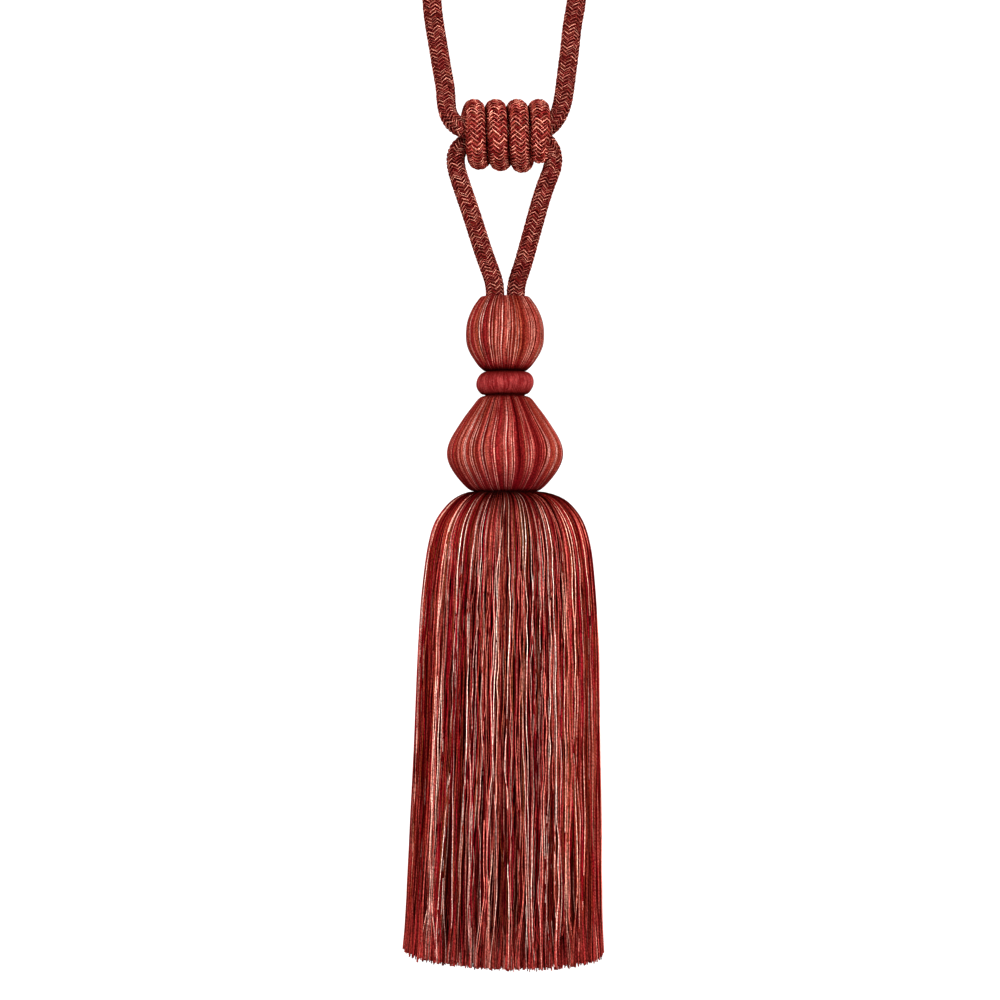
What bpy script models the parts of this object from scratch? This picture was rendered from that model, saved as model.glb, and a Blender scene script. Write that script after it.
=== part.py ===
"""Curtain tieback tassel: a braided rope with a sliding barrel knot, carrying a key tassel.

The rope is one length. Both of its ends sit in a socket in the top of a yarn-covered ball; it rises
in two legs, crosses itself inside a four-turn coil of the same rope, and closes in a loop above.
Below the ball come a wrapped collar, an onion-shaped yarn-covered mould and a long cut skirt.

The frame has +Z up and its origin at the inner top of the loop, where a hook bears. The front of the
tassel faces -Y.
"""

import math
import random

import bmesh
import bpy
import numpy as np
from mathutils import Vector

MM = 0.001
GAP = 0.3 * MM

# Rope
ROPE_DIAMETER = 9.5 * MM
ROPE_BEVEL_RESOLUTION = 3
ROPE_POINT_SPACING = 9.0 * MM
ROPE_PULL = 0.95

# Barrel knot: a coil of the same rope round the two crossing strands, its axis along X
KNOT_CENTRE_Z = -98.5 * MM
KNOT_FIRST_TURN_X = -15.0 * MM
KNOT_PITCH = 10.2 * MM
KNOT_LEAN = 1.35 * MM
KNOT_HALF_DEPTH = 15.0 * MM
KNOT_TOP_REACH = 12.9 * MM
KNOT_BOTTOM_REACHES = (12.0 * MM, 12.7 * MM, 13.5 * MM, 13.0 * MM)
KNOT_START_DEG = -70
KNOT_END_DEG = 3 * 360 + 140
KNOT_STEP_DEG = 20
KNOT_TUCK_DEG = 60
KNOT_TUCK_SHIFT = 1.0 * MM
KNOT_TUCK_SCALE = 0.85
KNOT_ROPE_HALF_WIDTH = 4.8 * MM
KNOT_ROPE_HALF_THICKNESS = 4.4 * MM
KNOT_ROPE_SIDES = 10
KNOT_END_ROUNDING = 2.6 * MM

# Stack of moulds, from the ball down, each with its own height
BALL_TOP_Z = -173.6 * MM
BALL_HEIGHT = 36.8 * MM
SOCKET_FLOOR_DEPTH = 5.2 * MM
COLLAR_HEIGHT = 11.2 * MM
COLLAR_TILT_DEG = 2.5
ONION_HEIGHT = 45.2 * MM
MOULD_SIDES = 40

# Skirt
SKIRT_LENGTH = 219.0 * MM
SKIRT_HEAD_DEPTH = 24.0 * MM
LOCKS_ROUND = 60
INNER_LOCKS_ROUND = 20
LOCK_GAP = 0.7 * MM
RIB_DEPTH = 0.5 * MM
LOCK_WAVE = 0.6 * MM
LOCK_WAVES_ROUND = 5
LENGTH_UNEVENNESS = 1.0 * MM
LENGTH_SEED = 7

# The rope's route in millimetres, chosen along its length: x, y, z
ROPE_ROUTE_MM = (
    # left end in the ball's socket, and the lower left leg
    (-4.7, 0.0, -178.5),
    (-4.7, 0.0, -174.0),
    (-5.3, 0.0, -168.2),
    (-7.3, 0.0, -162.0),
    (-10.2, 0.0, -153.9),
    (-15.7, 0.0, -136.8),
    (-21.2, 0.6, -120.5),
    (-23.2, 1.6, -113.0),
    (-23.2, 2.8, -107.5),
    (-20.7, 4.0, -103.0),
    (-15.5, 4.6, -100.4),
    # back strand through the knot
    (-7.0, 4.8, -99.1),
    (1.0, 4.8, -98.5),
    (9.0, 4.8, -97.6),
    (16.0, 4.5, -96.4),
    (21.2, 4.0, -93.5),
    (25.1, 3.0, -88.8),
    # upper right leg
    (27.2, 2.0, -83.2),
    (28.3, 1.0, -77.0),
    (29.3, 0.4, -69.0),
    (30.8, 0.0, -57.0),
    (32.1, 0.0, -45.6),
    (33.9, 0.0, -34.5),
    # loop over the hook
    (32.2, 0.0, -18.1),
    (24.1, 0.0, -5.4),
    (12.9, 0.0, 2.1),
    (-0.4, 0.0, 4.75),
    (-13.7, 0.0, 2.1),
    (-24.9, 0.0, -5.4),
    (-33.0, 0.0, -18.1),
    (-34.7, 0.0, -34.5),
    # upper left leg
    (-33.5, 0.0, -45.6),
    (-31.6, 0.0, -57.0),
    (-29.6, -0.4, -69.0),
    (-28.3, -1.0, -77.0),
    (-27.8, -2.0, -84.0),
    (-26.3, -3.4, -90.0),
    (-22.0, -4.5, -94.9),
    (-15.5, -4.8, -96.9),
    # front strand through the knot
    (-7.0, -4.8, -97.8),
    (1.0, -4.8, -98.4),
    (9.0, -4.8, -99.0),
    (15.0, -4.2, -99.8),
    (19.8, -2.2, -102.6),
    (22.5, -0.4, -107.2),
    # lower right leg, and the right end in the socket
    (22.7, 0.0, -112.5),
    (20.3, 0.0, -119.8),
    (14.9, 0.0, -136.8),
    (10.2, 0.0, -153.9),
    (7.8, 0.0, -162.0),
    (5.8, 0.0, -168.2),
    (5.1, 0.0, -174.0),
    (5.1, 0.0, -178.5),
)

# Ball: depth below its top, half-width across X and half-depth across Y, in millimetres. The first
# three rows are the floor and the lip of the oval socket that holds the two rope ends.
BALL_RINGS_MM = (
    (5.2, 10.4, 6.3),
    (1.7, 10.4, 6.3),
    (1.2, 10.9, 6.9),
    (1.7, 11.7, 8.6),
    (3.1, 13.1, 11.4),
    (5.5, 14.8, 14.3),
    (9.2, 16.6, 16.6),
    (14.2, 17.9, 17.9),
    (19.2, 18.4, 18.4),
    (24.2, 18.0, 18.0),
    (28.2, 16.5, 16.5),
    (31.8, 14.3, 14.3),
    (34.6, 12.4, 12.4),
    (36.8, 10.4, 10.4),
)

# Collar and onion: depth below the piece's top and radius, in millimetres
COLLAR_PROFILE_MM = (
    (0.0, 10.0),
    (0.7, 11.2),
    (2.3, 12.6),
    (4.6, 13.4),
    (6.9, 13.3),
    (9.2, 12.2),
    (10.6, 11.0),
    (11.2, 10.0),
)
ONION_PROFILE_MM = (
    (0.0, 10.6),
    (0.8, 12.0),
    (3.9, 14.5),
    (9.6, 18.8),
    (15.3, 22.6),
    (21.0, 25.9),
    (24.8, 27.1),
    (27.6, 27.4),
    (30.5, 27.0),
    (34.3, 25.4),
    (38.1, 23.0),
    (41.9, 19.8),
    (44.4, 16.8),
    (45.2, 14.6),
)

# Skirt: depth below its top, outer radius, and how far its middle sways to +X, in millimetres
SKIRT_PROFILE_MM = (
    (0.0, 15.6, 0.2),
    (0.7, 20.9, 1.0),
    (2.4, 24.6, 1.6),
    (4.6, 28.0, 1.9),
    (8.1, 31.2, 2.0),
    (12.5, 34.3, 2.0),
    (18.0, 36.7, 2.0),
    (24.0, 38.1, 2.0),
    (38.0, 40.1, 1.9),
    (61.0, 42.0, 1.7),
    (104.0, 43.4, 1.2),
    (147.0, 44.7, 0.5),
    (190.0, 46.0, -0.4),
    (219.0, 47.5, -0.9),
)
# Rings of locks from the outside in: the locks in each, the radius where its band ends and the depths
# of its locks' joints, in millimetres. The last ring's locks are three-sided and meet in the middle.
LOCK_RINGS = (
    (LOCKS_ROUND, 32.1, (38.0, 61.0, 147.0, 219.0)),
    (LOCKS_ROUND, 25.1, (219.0,)),
    (LOCKS_ROUND, 17.6, (219.0,)),
    (INNER_LOCKS_ROUND, 9.2, (219.0,)),
    (INNER_LOCKS_ROUND, 0.0, (219.0,)),
)

CRIMSON = (0.30, 0.035, 0.030)
BRICK = (0.34, 0.075, 0.045)
ROSE = (0.36, 0.050, 0.050)


def clear_scene():
    for old in list(bpy.data.objects):
        bpy.data.objects.remove(old, do_unlink=True)


def yarn_material(name, colour, roughness):
    material = bpy.data.materials.new(name)
    material.use_nodes = True
    shader = material.node_tree.nodes["Principled BSDF"]
    shader.inputs["Base Color"].default_value = (*colour, 1.0)
    shader.inputs["Roughness"].default_value = roughness
    shader.inputs["Metallic"].default_value = 0.0
    return material


def add_object(name, data, material):
    data.materials.append(material)
    obj = bpy.data.objects.new(name, data)
    bpy.context.scene.collection.objects.link(obj)
    return obj


def mesh_object(name, bm, material):
    """Closes off a bmesh as a smooth-shaded object."""
    bmesh.ops.recalc_face_normals(bm, faces=bm.faces)
    mesh = bpy.data.meshes.new(name)
    bm.to_mesh(mesh)
    bm.free()
    mesh.shade_smooth()
    mesh.set_sharp_from_angle(angle=math.radians(50))
    return add_object(name, mesh, material)


def add_ring(bm, points):
    return [bm.verts.new(point) for point in points]


def bridge(bm, lower, upper):
    """Joins two rings of equal count with quads."""
    count = len(lower)
    for i in range(count):
        after = (i + 1) % count
        bm.faces.new((lower[i], lower[after], upper[after], upper[i]))


def loft(name, rings, material):
    """A closed solid through rings of equal count, capped at both ends."""
    bm = bmesh.new()
    made = [add_ring(bm, ring) for ring in rings]
    for first, second in zip(made, made[1:]):
        bridge(bm, first, second)
    bm.faces.new(made[0])
    bm.faces.new(made[-1])
    return mesh_object(name, bm, material)


def oval(half_width, half_depth, z, sides=MOULD_SIDES):
    turn = 2 * math.pi / sides
    return [
        Vector((half_width * math.cos(turn * i), half_depth * math.sin(turn * i), z))
        for i in range(sides)
    ]


def natural_spline(points):
    """A function of arc position for the smooth curve through points, and its knots."""
    points = np.array(points, float)
    knots = np.concatenate([[0.0], np.cumsum(np.linalg.norm(np.diff(points, axis=0), axis=1))])
    steps = np.diff(knots)
    count = len(points)
    system = np.eye(count)
    right = np.zeros((count, 3))
    for i in range(1, count - 1):
        system[i, i - 1 : i + 2] = (steps[i - 1], 2 * (steps[i - 1] + steps[i]), steps[i])
        right[i] = 6 * (
            (points[i + 1] - points[i]) / steps[i] - (points[i] - points[i - 1]) / steps[i - 1]
        )
    bends = np.linalg.solve(system, right)

    def at(position):
        i = int(np.clip(np.searchsorted(knots, position) - 1, 0, count - 2))
        h = steps[i]
        before, after = knots[i + 1] - position, position - knots[i]
        return (
            bends[i] * before**3 / (6 * h)
            + bends[i + 1] * after**3 / (6 * h)
            + (points[i] / h - bends[i] * h / 6) * before
            + (points[i + 1] / h - bends[i + 1] * h / 6) * after
        )

    return at, knots


def rope_points():
    """Points along the rope, closer together where the route's own points are."""
    at, knots = natural_spline(np.array(ROPE_ROUTE_MM) * MM)
    positions = [knots[0]]
    for start, end in zip(knots, knots[1:]):
        pieces = max(1, math.ceil((end - start) / ROPE_POINT_SPACING))
        positions += list(np.linspace(start, end, pieces + 1)[1:])
    return [at(position) for position in positions]


def rope_scale(point):
    """The rope is a little thinner in and below the knot, where the tassel's weight draws it."""
    return ROPE_PULL if point[2] < KNOT_CENTRE_Z + 14 * MM else 1.0


def make_rope(material):
    """The whole rope as one tube from socket to socket."""
    points = rope_points()
    curve = bpy.data.curves.new("rope", "CURVE")
    curve.dimensions = "3D"
    curve.bevel_depth = ROPE_DIAMETER / 2
    curve.bevel_resolution = ROPE_BEVEL_RESOLUTION
    curve.use_fill_caps = True
    spline = curve.splines.new("POLY")
    spline.points.add(len(points) - 1)
    for control, point in zip(spline.points, points):
        control.co = (*point, 1.0)
        control.radius = rope_scale(point)
    spline.use_smooth = True
    return add_object("rope", curve, material)


def knot_tuck(degrees):
    """0 along the coil, rising to 1 at the end of its last turn."""
    share = min(1.0, max(0.0, 1 - (KNOT_END_DEG - degrees) / KNOT_TUCK_DEG))
    return share * share * (3 - 2 * share)


def knot_centre(degrees):
    """A point on the coil's centreline. 0 degrees is the top of the first turn, 90 its front."""
    turn = math.radians(degrees)
    if math.cos(turn) > 0:
        reach = KNOT_TOP_REACH
    else:
        reach = KNOT_BOTTOM_REACHES[int(degrees // 360)]
    x = KNOT_FIRST_TURN_X + KNOT_PITCH * degrees / 360 - KNOT_LEAN * (1 - math.cos(turn))
    x -= KNOT_TUCK_SHIFT * knot_tuck(degrees)
    return Vector((x, -KNOT_HALF_DEPTH * math.sin(turn), KNOT_CENTRE_Z + reach * math.cos(turn)))


def knot_section(degrees, offset, scale):
    """One flattened cross-section of the coil's rope, moved along the rope by offset."""
    small = 0.5
    centre = knot_centre(degrees)
    along = (knot_centre(degrees + small) - knot_centre(degrees - small)).normalized()
    outward = Vector((0.0, centre.y, centre.z - KNOT_CENTRE_Z))
    outward = (outward - along * outward.dot(along)).normalized()
    across = along.cross(outward)
    centre = centre + along * offset
    scale *= 1 - (1 - KNOT_TUCK_SCALE) * knot_tuck(degrees)
    turn = 2 * math.pi / KNOT_ROPE_SIDES
    return [
        centre
        + across * (scale * KNOT_ROPE_HALF_WIDTH * math.cos(turn * i))
        + outward * (scale * KNOT_ROPE_HALF_THICKNESS * math.sin(turn * i))
        for i in range(KNOT_ROPE_SIDES)
    ]


def make_knot(material):
    """The four-turn coil, with rounded ends that stay behind and under the rope's legs."""
    rounding = ((1.0, 0.55), (0.6, 0.86))
    rings = [knot_section(KNOT_START_DEG, -far * KNOT_END_ROUNDING, scale) for far, scale in rounding]
    for degrees in range(KNOT_START_DEG, KNOT_END_DEG + 1, KNOT_STEP_DEG):
        rings.append(knot_section(degrees, 0.0, 1.0))
    rings += [
        knot_section(KNOT_END_DEG, far * KNOT_END_ROUNDING, scale) for far, scale in reversed(rounding)
    ]
    return loft("slide_knot", rings, material)


def make_ball(material):
    rings = [
        oval(half_width * MM, half_depth * MM, BALL_TOP_Z - depth * MM)
        for depth, half_width, half_depth in BALL_RINGS_MM
    ]
    return loft("upper_mould", rings, material)


def make_collar(top_z, material):
    """The wrapped ring between the moulds. Its bulge tilts; its two seats stay level."""
    slope = math.tan(math.radians(COLLAR_TILT_DEG))
    seat = COLLAR_PROFILE_MM[0][1] * MM
    widest = max(radius for _, radius in COLLAR_PROFILE_MM) * MM
    rings = []
    for depth, radius in COLLAR_PROFILE_MM:
        ring = oval(radius * MM, radius * MM, top_z - depth * MM)
        share = max(0.0, (radius * MM - seat) / (widest - seat))
        for point in ring:
            point.z += point.x * slope * share
        rings.append(ring)
    return loft("collar", rings, material)


def make_onion(top_z, material):
    rings = [oval(radius * MM, radius * MM, top_z - depth * MM) for depth, radius in ONION_PROFILE_MM]
    return loft("lower_mould", rings, material)


def skirt_at(depth):
    """The skirt's outer radius and sway at a depth below its top."""
    table = np.array(SKIRT_PROFILE_MM) * MM
    return np.interp(depth, table[:, 0], table[:, 1]), np.interp(depth, table[:, 0], table[:, 2])


def skirt_point(top_z, share, angle, depth):
    """A point of the skirt: share of its outer radius, angle round it, and depth."""
    radius, sway = skirt_at(depth)
    return Vector(
        (sway + share * radius * math.cos(angle), share * radius * math.sin(angle), top_z - depth)
    )


def skirt_ring(bm, top_z, radius, depth, count, valley=0.0):
    """A ring of the skirt's head. Every second point is drawn in by valley, from the first one on."""
    outer, _ = skirt_at(depth)
    return add_ring(
        bm,
        [
            skirt_point(
                top_z,
                (radius - (valley if i % 2 == 0 else 0.0)) / outer,
                2 * math.pi * i / count,
                depth,
            )
            for i in range(count)
        ],
    )


def skirt_dome(bm, top_z):
    """The domed top of the skirt, ribbed where the yarn runs over it. Returns its lower rim."""
    above = None
    for depth_mm, radius_mm, _ in SKIRT_PROFILE_MM:
        depth = depth_mm * MM
        if depth > SKIRT_HEAD_DEPTH - MM:
            break
        valley = RIB_DEPTH if above else 0.0
        ring = skirt_ring(bm, top_z, radius_mm * MM, depth, 2 * LOCKS_ROUND, valley)
        if above:
            bridge(bm, ring, above)
        else:
            bm.faces.new(ring)
        above = ring
    rim_radius, _ = skirt_at(SKIRT_HEAD_DEPTH)
    rim = skirt_ring(bm, top_z, rim_radius, SKIRT_HEAD_DEPTH, LOCKS_ROUND)
    join_rings(bm, above, rim)
    return rim, rim_radius


def join_rings(bm, fine, coarse):
    """Joins two rings where the first has a whole number of points for each point of the second."""
    ratio = len(fine) // len(coarse)
    for i in range(len(coarse)):
        run = [fine[(ratio * i + k) % len(fine)] for k in range(ratio + 1)]
        bm.faces.new((coarse[i], coarse[(i + 1) % len(coarse)], *reversed(run)))


def lock_roots(bm, top_z):
    """The dome and its flat underside, cut into the faces that the locks grow from."""
    rim, radius = skirt_dome(bm, top_z)
    roots = []
    for count, inner_mm, stations in LOCK_RINGS:
        if count != len(rim):
            radius -= LOCK_GAP / 2
            coarse = skirt_ring(bm, top_z, radius, SKIRT_HEAD_DEPTH, count)
            join_rings(bm, rim, coarse)
            rim = coarse
        if inner_mm:
            radius = inner_mm * MM
            inner = skirt_ring(bm, top_z, radius, SKIRT_HEAD_DEPTH, count)
        else:
            inner = [bm.verts.new(skirt_point(top_z, 0.0, 0.0, SKIRT_HEAD_DEPTH))] * count
        cells = []
        for i in range(count):
            after = (i + 1) % count
            corners = (rim[i], rim[after], inner[after], inner[i])
            cells.append(bm.faces.new(corners if inner_mm else corners[:3]))
        roots.append((cells, stations))
        rim = inner
    return roots


def hang(bm, faces, top_z, depths):
    """Extrudes each lock once and moves its new end down to its own depth."""
    made = bmesh.ops.extrude_discrete_faces(bm, faces=faces)["faces"]
    for face, depth in zip(made, depths):
        for vert in face.verts:
            share, angle = vert_polar(vert, top_z)
            vert.co = skirt_point(top_z, share, angle + lock_wave(angle, depth), depth)
    return made


def vert_polar(vert, top_z):
    """Where a vertex lies in the skirt's round: its share of the outer radius, and its angle."""
    depth = top_z - vert.co.z
    radius, sway = skirt_at(depth)
    share = math.hypot(vert.co.x - sway, vert.co.y) / radius
    return share, math.atan2(vert.co.y, vert.co.x - sway)


def lock_wave(angle, depth):
    """The small sideways drift of the locks, in radians, since the station above."""
    radius, _ = skirt_at(depth)
    share = depth / SKIRT_LENGTH
    return LOCK_WAVE * share * math.sin(LOCK_WAVES_ROUND * angle + 4 * share) / radius


def make_skirt(top_z, material):
    """A ribbed head with rings of four-sided locks that hang apart from their fused roots."""
    draw = random.Random(LENGTH_SEED)
    bm = bmesh.new()
    rings = lock_roots(bm, top_z)
    bm.normal_update()
    for cells, stations in rings:
        bmesh.ops.inset_individual(bm, faces=cells, thickness=LOCK_GAP / 2)
        ends = [draw.uniform(-LENGTH_UNEVENNESS, LENGTH_UNEVENNESS) for _ in cells]
        for station in stations:
            last = station * MM > SKIRT_LENGTH - MM
            depths = [station * MM + (end if last else 0.0) for end in ends]
            cells = hang(bm, cells, top_z, depths)
    return mesh_object("skirt", bm, material)


def main():
    clear_scene()
    braid = yarn_material("rope_braid", BRICK, 0.6)
    wrap = yarn_material("mould_yarn", ROSE, 0.5)
    satin = yarn_material("collar_yarn", CRIMSON, 0.45)
    cut_yarn = yarn_material("skirt_yarn", CRIMSON, 0.55)

    collar_top_z = BALL_TOP_Z - BALL_HEIGHT - GAP
    onion_top_z = collar_top_z - COLLAR_HEIGHT - GAP
    skirt_top_z = onion_top_z - ONION_HEIGHT - GAP

    make_rope(braid)
    make_knot(braid)
    make_ball(wrap)
    make_collar(collar_top_z, satin)
    make_onion(onion_top_z, wrap)
    make_skirt(skirt_top_z, cut_yarn)


main()
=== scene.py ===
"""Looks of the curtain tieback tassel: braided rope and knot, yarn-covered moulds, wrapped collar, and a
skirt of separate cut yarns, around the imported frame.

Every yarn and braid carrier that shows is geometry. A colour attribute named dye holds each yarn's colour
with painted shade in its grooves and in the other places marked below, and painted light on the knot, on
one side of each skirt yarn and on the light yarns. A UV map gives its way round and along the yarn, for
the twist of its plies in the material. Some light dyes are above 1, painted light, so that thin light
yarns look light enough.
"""

import math

import bpy
import numpy as np
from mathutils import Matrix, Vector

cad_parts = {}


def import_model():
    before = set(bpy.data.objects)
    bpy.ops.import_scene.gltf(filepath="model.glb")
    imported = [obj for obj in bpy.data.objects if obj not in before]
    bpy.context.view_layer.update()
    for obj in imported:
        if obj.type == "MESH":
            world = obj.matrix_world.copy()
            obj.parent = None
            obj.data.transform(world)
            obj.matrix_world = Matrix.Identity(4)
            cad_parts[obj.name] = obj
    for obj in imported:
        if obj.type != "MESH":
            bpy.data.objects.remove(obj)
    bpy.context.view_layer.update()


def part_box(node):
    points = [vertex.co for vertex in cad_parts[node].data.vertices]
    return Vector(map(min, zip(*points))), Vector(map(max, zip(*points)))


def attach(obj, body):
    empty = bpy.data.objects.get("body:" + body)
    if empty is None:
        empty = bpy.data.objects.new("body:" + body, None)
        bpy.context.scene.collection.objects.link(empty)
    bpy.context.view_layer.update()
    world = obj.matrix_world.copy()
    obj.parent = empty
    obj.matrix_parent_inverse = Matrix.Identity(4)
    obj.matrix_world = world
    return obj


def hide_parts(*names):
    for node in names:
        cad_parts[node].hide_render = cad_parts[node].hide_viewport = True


MM = 0.001
SEED = 20

# Photo's camera: 1000 pixels across, level, straight on
PIXEL = 0.475 * MM
CAMERA_DISTANCE_PX = 2378
CAMERA_NEAR = 0.02
SENSOR_MM = 36.0
PHOTO_PX = 1000
AXIS_COLUMN_PX = 505
ORIGIN_ROW_PX = -72

# Studio
AMBIENT = 0.40
WARM_FILL = (1.0, 0.60, 0.54)
FLOOR_RADIUS = 4.5
FLOOR_Z = -1.6
FLOOR_GREY = (0.3, 0.3, 0.3, 1)
FLOOR_GLOW = 0.72
LIGHT_AIM = (0.0, 0.0, -0.27)
# Lights: name, place, size and power in watts
LIGHTS = (
    ("key", (0.12, -1.36, 0.12), 0.6, 25),
    ("back", (0.1, 1.4, 0.1), 0.4, 16),
    ("left", (-1.3, 0.7, 0.0), 0.8, 15),
    ("right", (1.3, 0.8, 0.0), 0.8, 13),
    ("below", (0.0, -0.3, -1.4), 1.0, 5.5),
)

# Yarn colours, as linear light
# PALE, PEACH, BRIGHT and SALMON dye the light yarns: partly their own colour and partly a painted sheen,
# with BRIGHT above 1
PALE = (0.95, 0.66, 0.58)
PEACH = (0.93, 0.50, 0.40)
BRIGHT = (1.05, 0.48, 0.36)
SALMON = (0.74, 0.22, 0.17)
ROSE = (0.42, 0.090, 0.075)
CRIMSON = (0.24, 0.022, 0.022)
BRICK = (0.29, 0.060, 0.034)
BRONZE = (0.18, 0.050, 0.020)
CARMINE = (0.24, 0.009, 0.018)
WINE = (0.085, 0.003, 0.005)
# Painted shade: the near black in the braid's grooves and the hidden cores behind the yarns
PAINTED_SHADE_DARK = (0.006, 0.0003, 0.0005)

# How fast red, green and blue fall off in the shade between yarns
SHADE_POWERS = (1.0, 1.6, 1.7)

# Yarn materials
SHEEN = 0.02
SHEEN_ROUGHNESS = 0.4
SHEEN_TINT = (1.0, 0.25, 0.20, 1.0)
GLOSS_TINT = (1.0, 0.50, 0.42, 1.0)
FLECK_NOISE = (0.3, 0.75)
PLY_WAVE = (-1.0, 0.6)
PLY_LIGHT = 0.4
BUMP_STRENGTH = 0.6

# Rope and braid
ROPE_DIAMETER = 9.5 * MM
ROPE_PROUD = 0.05 * MM
# Painted shade: the rope's braid dyes are scaled down, the knot's scaled up
ROPE_PAINTED_SHADE = 0.87
ROPE_PULL = 0.95
# The pull begins and is full at these heights over the knot's centre
ROPE_PULL_BEGINS = 18 * MM
ROPE_PULL_FULL = 10 * MM
BRAID_CARRIERS = 10
BRAID_PITCH = 17.0 * MM
BRAID_STEP = 0.71 * MM
BRAID_LIFT = 0.42 * MM
BRAID_FLATNESS = 1.35
CORE_SHARE = 0.72
CORE_SIDES = 10
CORE_EVERY = 3
CARRIER_DEPTH = 0.36 * MM
# A carrier's outline, across it in millimetres and out from it in depths. Its three crests are its yarns
CARRIER_ACROSS_MM = (-0.75, -0.50, -0.25, 0.0, 0.25, 0.50, 0.75)
CARRIER_OUT = (-0.75, 0.78, 0.10, 0.92, 0.10, 0.78, -0.75)
CARRIER_CRESTS = (1, 3, 5)
CARRIER_PLIES = 1.5
CARRIER_STRETCH = 1.25
# Kinds of yarn in a carrier: darkest and lightest dye, how light it is on average and how much that varies
CARRIER_YARNS = (
    (ROSE, BRIGHT, 0.42, 1.0),
    (WINE, CRIMSON, 0.60, 0.7),
    (WINE, BRICK, 0.60, 0.7),
    (CRIMSON, SALMON, 0.25, 0.8),
)
# Which kinds lie side by side in a carrier
CARRIER_ORDERS = ((1, 0, 2), (1, 0, 1), (2, 0, 1), (1, 0, 2), (1, 3, 2), (3, 1, 0))

# Knot, as in the frame
KNOT_CENTRE_Z = -98.5 * MM
KNOT_FIRST_TURN_X = -15.0 * MM
KNOT_PITCH = 10.2 * MM
KNOT_LEAN = 1.35 * MM
KNOT_HALF_DEPTH = 15.0 * MM
KNOT_TOP_REACH = 12.9 * MM
KNOT_BOTTOM_REACHES = (12.0 * MM, 12.7 * MM, 13.5 * MM, 13.0 * MM)
KNOT_START_DEG = -70
KNOT_END_DEG = 3 * 360 + 140
KNOT_TUCK_DEG = 60
KNOT_TUCK_SHIFT = 1.0 * MM
KNOT_TUCK_SCALE = 0.85
KNOT_HALF_WIDTH = 4.95 * MM
KNOT_HALF_THICKNESS = 4.3 * MM
# Only in the scene: its ends run on a little and are rounded, its braid dyes get painted light, and the
# sides that touch get painted shade
KNOT_EXTRA_START_DEG = 8
KNOT_EXTRA_END_DEG = 18
KNOT_STEP_DEG = 0.25
KNOT_END_ROUNDING = (-1.2 * MM, 2.6 * MM)
KNOT_PAINTED_LIGHT = 1.38
KNOT_SIDE_SHADE = 0.45
KNOT_SIDE_FROM = 0.86

# Moulds and collar: how many yarns, rings of points, and sideways wander in yarn widths
BALL_YARNS = 250
BALL_RINGS = 38
BALL_WANDER = 0.9
ONION_YARNS = 340
ONION_RINGS = 42
ONION_WANDER = 1.1
COLLAR_YARNS = 190
COLLAR_RINGS = 22
COLLAR_WANDER = 0.6
COLLAR_TILT_DEG = 2.5
# A laid yarn has four columns of points: how high each stands, as a share of its height
YARN_CREST = (0.0, 0.82, 1.0, 0.82)
YARN_COLUMNS = 4
# Its height, how proud it may lie and how far its edges may shift, in yarn widths
YARN_HEIGHT = 0.42
YARN_PROUD = 0.10
YARN_SHIFT = 0.16
GROOVE_SHADE = 0.35
# Dyes round a mould: dye, share of the runs and longest run
MOULD_GROUND = ((CRIMSON, 6, 3), (ROSE, 5, 2), (BRICK, 2, 2), (BRONZE, 1, 1), (WINE, 2, 1))
MOULD_LIGHTS = ((SALMON, 1, 1), (PEACH, 3, 1), (PALE, 2, 1))
MOULD_GROUND_TONES = (0.5, 1.3)
# Clusters of light yarns: yarns between two, light yarns in one, and steps from one of them to the next
MOULD_CLUSTERS = ((3, 11), (1, 6), (2, 2, 3, 3, 4))
# Shares of the length over which the yarns darken in painted shade towards their top and their bottom
BALL_TUCKS = (0.16, 0.22)
ONION_TUCKS = (0.08, 0.40)
TUCK_TOP_SHADE = 0.22
TUCK_BOTTOM_SHADE = 0.20
# Painted shade on a mould's upper part: how dark at the top, and where it lifts
UPPER_SHADE = 0.74
UPPER_RANGE = (0.05, 0.45)
# For all yarns: tones of their runs, strengths of light clusters and yarns, and mottling along a yarn
RUN_TONES = (0.78, 1.18)
CLUSTER_STRENGTHS = (0.6, 1.0)
LIGHT_STRENGTHS = (0.5, 1.0)
MOTTLE = 0.25

# Skirt
SKIRT_START = -0.3 * MM
SKIRT_LENGTH = 217.6 * MM
SKIRT_YARN = 0.55 * MM
SKIRT_YARN_SIDES = 3
# Its hem: how much longer the right side hangs, and how unevenly yarns and locks are cut
HEM_TILT = 1.26 * MM
HEM_UNEVENNESS = 0.55 * MM
HEM_UNEVENNESS_LIMITS = (-2.6 * MM, 1.4 * MM)
LOCK_UNEVENNESS = 0.3 * MM
LOCK_COUNT = 36
# How far yarns and locks are moved from even spacing, as a share of it
SPACING_JITTER = 0.45
# A yarn's points crowd towards its top by this power
TOP_CROWDING = 1.3
# Where yarns begin to hang freely, and where locks close up and open again, as shares of the length
HUNG_RANGE = (0.02, 0.22)
LOCK_CLOSE_RANGE = (0.55, 0.87)
LOCK_OPEN_RANGE = (0.88, 1.0)
LOCK_OPEN_SHARE = 0.85
# Sideways and outward shifts of whole locks and of yarns
LOCK_LEAN = 0.9 * MM
LOCK_FLARE = 0.45 * MM
LOCK_WAVE = 0.5 * MM
STRAY_SHARE = 0.12
STRAY_FAR = 2.6 * MM
STRAY_NEAR = 0.7 * MM
YARN_LONG_WAVE = 0.6 * MM
YARN_SHORT_WAVE = 0.5 * MM
YARN_FAN = 1.5 * MM
YARN_RISE = 0.42 * MM
YARN_SINK = 1.0 * MM
YARN_SINK_DEPTHS = (2 * MM, 26 * MM)
LEAST_DISTANCE = 0.4 * MM
LIGHT_YARN_RISE = 0.25 * MM
LIGHT_YARN_THINNING = 0.36
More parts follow.
